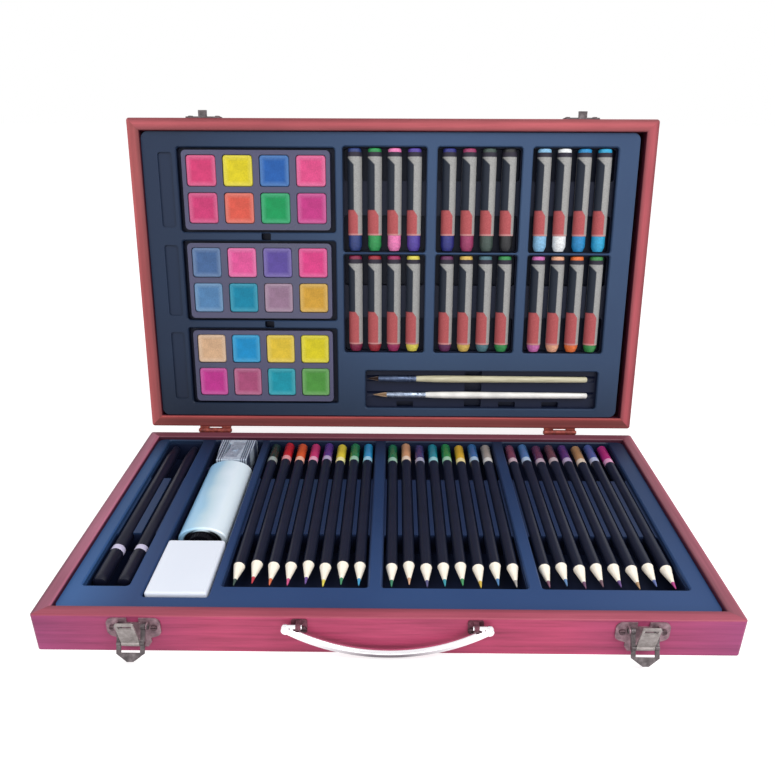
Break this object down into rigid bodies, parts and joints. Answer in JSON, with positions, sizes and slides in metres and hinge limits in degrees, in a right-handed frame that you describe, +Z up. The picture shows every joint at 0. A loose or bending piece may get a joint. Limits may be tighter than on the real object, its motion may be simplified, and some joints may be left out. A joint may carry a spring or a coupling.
{
  "type": "art supply case",
  "caption": "Hinged wooden case standing open, with moulded trays of pencils, oil pastels, watercolour palettes and brushes, two latches and a swinging handle.",
  "frame": {"origin": "centre of the base's underside, on the surface that the case stands on", "axes": "+X to the right as seen from the front, +Y towards the hinges, +Z up"},
  "size_m": [0.37, 0.2985, 0.2486],
  "materials": {
    "stained_wood": "satin stain",
    "thin_board": "satin stain",
    "tray_plastic": "soft sheen",
    "aged_bronze": "antique bronze plate",
    "bright_handle": "polished",
    "pencil_barrels": "black lacquer",
    "pastel_wrappers": "grey paper",
    "palette_plastic": "translucent grey-violet",
    "watercolour": "dry paint",
    "cream_wood": "clear lacquer",
    "dark_bristles": "soft hair",
    "tan_bristles": "soft hair",
    "pen_barrels": "gloss",
    "tube_metal": "painted metal foil",
    "black_cap": "matt",
    "sharpener_metal": "brushed",
    "blade_steel": "ground",
    "eraser_rubber": "matt white"
  },
  "bodies": {
    "case_base": {"base_front_rail": "stained_wood", "base_back_rail": "stained_wood", "base_left_rail": "stained_wood", "base_right_rail": "stained_wood", "base_bottom_panel": "thin_board", "base_tray": "tray_plastic", "left_hinge_base_leaf": "aged_bronze", "left_latch_plate": "aged_bronze", "left_handle_lug": "aged_bronze", "right_hinge_base_leaf": "aged_bronze", "right_latch_plate": "aged_bronze", "right_handle_lug": "aged_bronze", "hinge_pins": "aged_bronze", "hinge_base_screws": "aged_bronze", "latch_rivets": "aged_bronze", "front_screws": "aged_bronze"},
    "case_lid": {"lid_front_rail": "stained_wood", "lid_back_rail": "stained_wood", "lid_left_rail": "stained_wood", "lid_right_rail": "stained_wood", "lid_top_panel": "thin_board", "lid_tray": "tray_plastic", "left_hinge_lid_leaf": "aged_bronze", "left_keeper": "aged_bronze", "right_hinge_lid_leaf": "aged_bronze", "right_keeper": "aged_bronze", "hinge_lid_screws": "aged_bronze", "keeper_screws": "aged_bronze"},
    "handle": {"carry_handle": "bright_handle"},
    "left_lever": {"left_latch_lever": "aged_bronze"},
    "left_link": {"left_latch_link": "aged_bronze"},
    "right_lever": {"right_latch_lever": "aged_bronze"},
    "right_link": {"right_latch_link": "aged_bronze"},
    "left_pencil_set": {"left_pencils": "pencil_barrels"},
    "middle_pencil_set": {"middle_pencils": "pencil_barrels"},
    "right_pencil_set": {"right_pencils": "pencil_barrels"},
    "left_drawing_pen": {"left_pen": "pen_barrels"},
    "right_drawing_pen": {"right_pen": "pen_barrels"},
    "paint_tube": {"paint_tube_body": "tube_metal"},
    "tube_cap": {"paint_tube_cap": "black_cap"},
    "sharpener": {"sharpener_body": "sharpener_metal", "sharpener_blade": "blade_steel", "sharpener_screw": "blade_steel"},
    "eraser_block": {"eraser": "eraser_rubber"},
    "lower_palette_set": {"lower_palette": "palette_plastic", "lower_paint_cakes": "watercolour"},
    "middle_palette_set": {"middle_palette": "palette_plastic", "middle_paint_cakes": "watercolour"},
    "upper_palette_set": {"upper_palette": "palette_plastic", "upper_paint_cakes": "watercolour"},
    "lower_left_pastel_set": {"lower_left_pastels": "pastel_wrappers"},
    "lower_middle_pastel_set": {"lower_middle_pastels": "pastel_wrappers"},
    "lower_right_pastel_set": {"lower_right_pastels": "pastel_wrappers"},
    "upper_left_pastel_set": {"upper_left_pastels": "pastel_wrappers"},
    "upper_middle_pastel_set": {"upper_middle_pastels": "pastel_wrappers"},
    "upper_right_pastel_set": {"upper_right_pastels": "pastel_wrappers"},
    "upper_paint_brush": {"upper_brush": "cream_wood", "upper_brush_bristles": "dark_bristles"},
    "lower_paint_brush": {"lower_brush": "cream_wood", "lower_brush_bristles": "tan_bristles"}
  },
  "joints": [
    {"name": "lid_hinge", "type": "hinge", "parent": "case_base", "child": "case_lid", "pos_m": [0, 0.1136, 0.0232], "axis": [-1, 0, 0], "range_deg": [-100, 0]},
    {"name": "handle_swing", "type": "hinge", "parent": "case_base", "child": "handle", "pos_m": [0, -0.1151, 0.0204], "axis": [-1, 0, 0], "range_deg": [0, 175]},
    {"name": "left_lever_turn", "type": "hinge", "parent": "case_base", "child": "left_lever", "pos_m": [-0.1315, -0.1137, 0.0184], "axis": [-1, 0, 0], "range_deg": [-30, 65]},
    {"name": "left_link_turn", "type": "hinge", "parent": "left_lever", "child": "left_link", "pos_m": [-0.1315, -0.1179, 0.01112], "axis": [-1, 0, 0], "range_deg": [-100, 47]},
    {"name": "right_lever_turn", "type": "hinge", "parent": "case_base", "child": "right_lever", "pos_m": [0.1315, -0.1137, 0.0184], "axis": [-1, 0, 0], "range_deg": [-30, 65]},
    {"name": "right_link_turn", "type": "hinge", "parent": "right_lever", "child": "right_link", "pos_m": [0.1315, -0.1179, 0.01112], "axis": [-1, 0, 0], "range_deg": [-100, 47]},
    {"name": "left_pencil_set_lift", "type": "slide", "parent": "case_base", "child": "left_pencil_set", "axis": [0, 0, 1], "range_m": [0, 0.02]},
    {"name": "middle_pencil_set_lift", "type": "slide", "parent": "case_base", "child": "middle_pencil_set", "axis": [0, 0, 1], "range_m": [0, 0.02]},
    {"name": "right_pencil_set_lift", "type": "slide", "parent": "case_base", "child": "right_pencil_set", "axis": [0, 0, 1], "range_m": [0, 0.02]},
    {"name": "left_drawing_pen_lift", "type": "slide", "parent": "case_base", "child": "left_drawing_pen", "axis": [0, 0, 1], "range_m": [0, 0.02]},
    {"name": "right_drawing_pen_lift", "type": "slide", "parent": "case_base", "child": "right_drawing_pen", "axis": [0, 0, 1], "range_m": [0, 0.02]},
    {"name": "paint_tube_lift", "type": "slide", "parent": "case_base", "child": "paint_tube", "axis": [0, 0, 1], "range_m": [0, 0.02]},
    {"name": "sharpener_lift", "type": "slide", "parent": "case_base", "child": "sharpener", "axis": [0, 0, 1], "range_m": [0, 0.02]},
    {"name": "eraser_block_lift", "type": "slide", "parent": "case_base", "child": "eraser_block", "axis": [0, 0, 1], "range_m": [0, 0.02]},
    {"name": "lower_palette_set_lift", "type": "slide", "parent": "case_lid", "child": "lower_palette_set", "axis": [0, -0.9848, 0.1736], "range_m": [0, 0.018]},
    {"name": "middle_palette_set_lift", "type": "slide", "parent": "case_lid", "child": "middle_palette_set", "axis": [0, -0.9848, 0.1736], "range_m": [0, 0.018]},
    {"name": "upper_palette_set_lift", "type": "slide", "parent": "case_lid", "child": "upper_palette_set", "axis": [0, -0.9848, 0.1736], "range_m": [0, 0.018]},
    {"name": "lower_left_pastel_set_lift", "type": "slide", "parent": "case_lid", "child": "lower_left_pastel_set", "axis": [0, -0.9848, 0.1736], "range_m": [0, 0.018]},
    {"name": "lower_middle_pastel_set_lift", "type": "slide", "parent": "case_lid", "child": "lower_middle_pastel_set", "axis": [0, -0.9848, 0.1736], "range_m": [0, 0.018]},
    {"name": "lower_right_pastel_set_lift", "type": "slide", "parent": "case_lid", "child": "lower_right_pastel_set", "axis": [0, -0.9848, 0.1736], "range_m": [0, 0.018]},
    {"name": "upper_left_pastel_set_lift", "type": "slide", "parent": "case_lid", "child": "upper_left_pastel_set", "axis": [0, -0.9848, 0.1736], "range_m": [0, 0.018]},
    {"name": "upper_middle_pastel_set_lift", "type": "slide", "parent": "case_lid", "child": "upper_middle_pastel_set", "axis": [0, -0.9848, 0.1736], "range_m": [0, 0.018]},
    {"name": "upper_right_pastel_set_lift", "type": "slide", "parent": "case_lid", "child": "upper_right_pastel_set", "axis": [0, -0.9848, 0.1736], "range_m": [0, 0.018]},
    {"name": "upper_paint_brush_lift", "type": "slide", "parent": "case_lid", "child": "upper_paint_brush", "axis": [0, -0.9848, 0.1736], "range_m": [0, 0.018]},
    {"name": "lower_paint_brush_lift", "type": "slide", "parent": "case_lid", "child": "lower_paint_brush", "axis": [0, -0.9848, 0.1736], "range_m": [0, 0.018]},
    {"name": "tube_cap_turn", "type": "hinge", "parent": "paint_tube", "child": "tube_cap", "pos_m": [-0.115, -0.0315, 0.0138], "axis": [0, -1, 0], "range_deg": [0, 360]}
  ],
  "couplings": [
    {"joint": "left_link_turn", "follows": "left_lever_turn", "ratio": -1.5333},
    {"joint": "right_link_turn", "follows": "right_lever_turn", "ratio": -1.5333}
  ]
}
